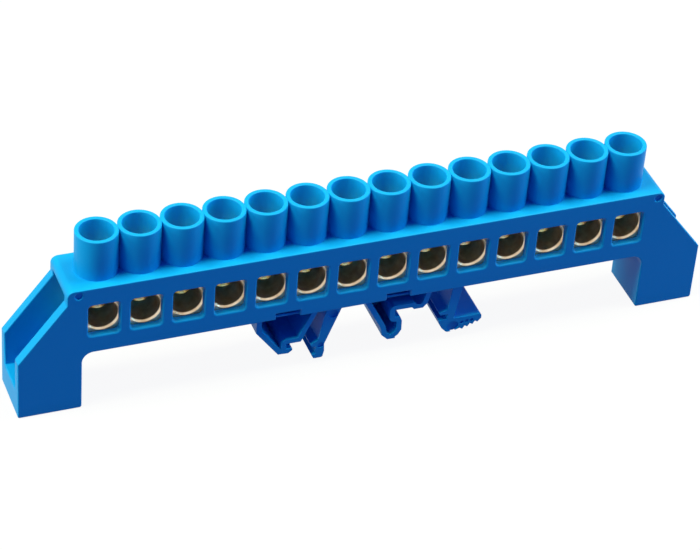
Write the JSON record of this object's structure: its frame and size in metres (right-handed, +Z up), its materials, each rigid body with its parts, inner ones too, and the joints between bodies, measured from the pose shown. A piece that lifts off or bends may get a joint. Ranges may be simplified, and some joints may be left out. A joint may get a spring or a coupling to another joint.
{
  "type": "neutral busbar",
  "caption": "Insulated neutral busbar: brass bar with clamp screws in a blue bridge housing with chimneys, wire windows, screw-down legs and a foot for a mounting rail.",
  "frame": {"origin": "middle of the footprint, at the height of the surface that the two legs stand on", "axes": "+X along the row of ways, +Y from the wire side to the back, +Z up out of the chimneys"},
  "size_m": [0.15, 0.0126, 0.0396],
  "materials": {
    "blue_plastic": "satin moulded polyamide, light blue of a neutral conductor",
    "brass": "drawn bar, machined holes",
    "plated_steel": "yellow passivated zinc plating"
  },
  "bodies": {
    "block": {"housing": "blue_plastic", "busbar": "brass"},
    "clamp_screw_01": {"clamp_screw_01": "plated_steel"},
    "clamp_screw_02": {"clamp_screw_02": "plated_steel"},
    "clamp_screw_03": {"clamp_screw_03": "plated_steel"},
    "clamp_screw_04": {"clamp_screw_04": "plated_steel"},
    "clamp_screw_05": {"clamp_screw_05": "plated_steel"},
    "clamp_screw_06": {"clamp_screw_06": "plated_steel"},
    "clamp_screw_07": {"clamp_screw_07": "plated_steel"},
    "clamp_screw_08": {"clamp_screw_08": "plated_steel"},
    "clamp_screw_09": {"clamp_screw_09": "plated_steel"},
    "clamp_screw_10": {"clamp_screw_10": "plated_steel"},
    "clamp_screw_11": {"clamp_screw_11": "plated_steel"},
    "clamp_screw_12": {"clamp_screw_12": "plated_steel"},
    "clamp_screw_13": {"clamp_screw_13": "plated_steel"},
    "clamp_screw_14": {"clamp_screw_14": "plated_steel"}
  },
  "joints": [
    {"name": "clamp_screw_01_travel", "type": "slide", "parent": "block", "child": "clamp_screw_01", "axis": [0, 0, 1], "range_m": [-0.0022, 0.0022]},
    {"name": "clamp_screw_02_travel", "type": "slide", "parent": "block", "child": "clamp_screw_02", "axis": [0, 0, 1], "range_m": [-0.0022, 0.0022]},
    {"name": "clamp_screw_03_travel", "type": "slide", "parent": "block", "child": "clamp_screw_03", "axis": [0, 0, 1], "range_m": [-0.0022, 0.0022]},
    {"name": "clamp_screw_04_travel", "type": "slide", "parent": "block", "child": "clamp_screw_04", "axis": [0, 0, 1], "range_m": [-0.0022, 0.0022]},
    {"name": "clamp_screw_05_travel", "type": "slide", "parent": "block", "child": "clamp_screw_05", "axis": [0, 0, 1], "range_m": [-0.0022, 0.0022]},
    {"name": "clamp_screw_06_travel", "type": "slide", "parent": "block", "child": "clamp_screw_06", "axis": [0, 0, 1], "range_m": [-0.0022, 0.0022]},
    {"name": "clamp_screw_07_travel", "type": "slide", "parent": "block", "child": "clamp_screw_07", "axis": [0, 0, 1], "range_m": [-0.0022, 0.0022]},
    {"name": "clamp_screw_08_travel", "type": "slide", "parent": "block", "child": "clamp_screw_08", "axis": [0, 0, 1], "range_m": [-0.0022, 0.0022]},
    {"name": "clamp_screw_09_travel", "type": "slide", "parent": "block", "child": "clamp_screw_09", "axis": [0, 0, 1], "range_m": [-0.0022, 0.0022]},
    {"name": "clamp_screw_10_travel", "type": "slide", "parent": "block", "child": "clamp_screw_10", "axis": [0, 0, 1], "range_m": [-0.0022, 0.0022]},
    {"name": "clamp_screw_11_travel", "type": "slide", "parent": "block", "child": "clamp_screw_11", "axis": [0, 0, 1], "range_m": [-0.0022, 0.0022]},
    {"name": "clamp_screw_12_travel", "type": "slide", "parent": "block", "child": "clamp_screw_12", "axis": [0, 0, 1], "range_m": [-0.0022, 0.0022]},
    {"name": "clamp_screw_13_travel", "type": "slide", "parent": "block", "child": "clamp_screw_13", "axis": [0, 0, 1], "range_m": [-0.0022, 0.0022]},
    {"name": "clamp_screw_14_travel", "type": "slide", "parent": "block", "child": "clamp_screw_14", "axis": [0, 0, 1], "range_m": [-0.0022, 0.0022]}
  ]
}
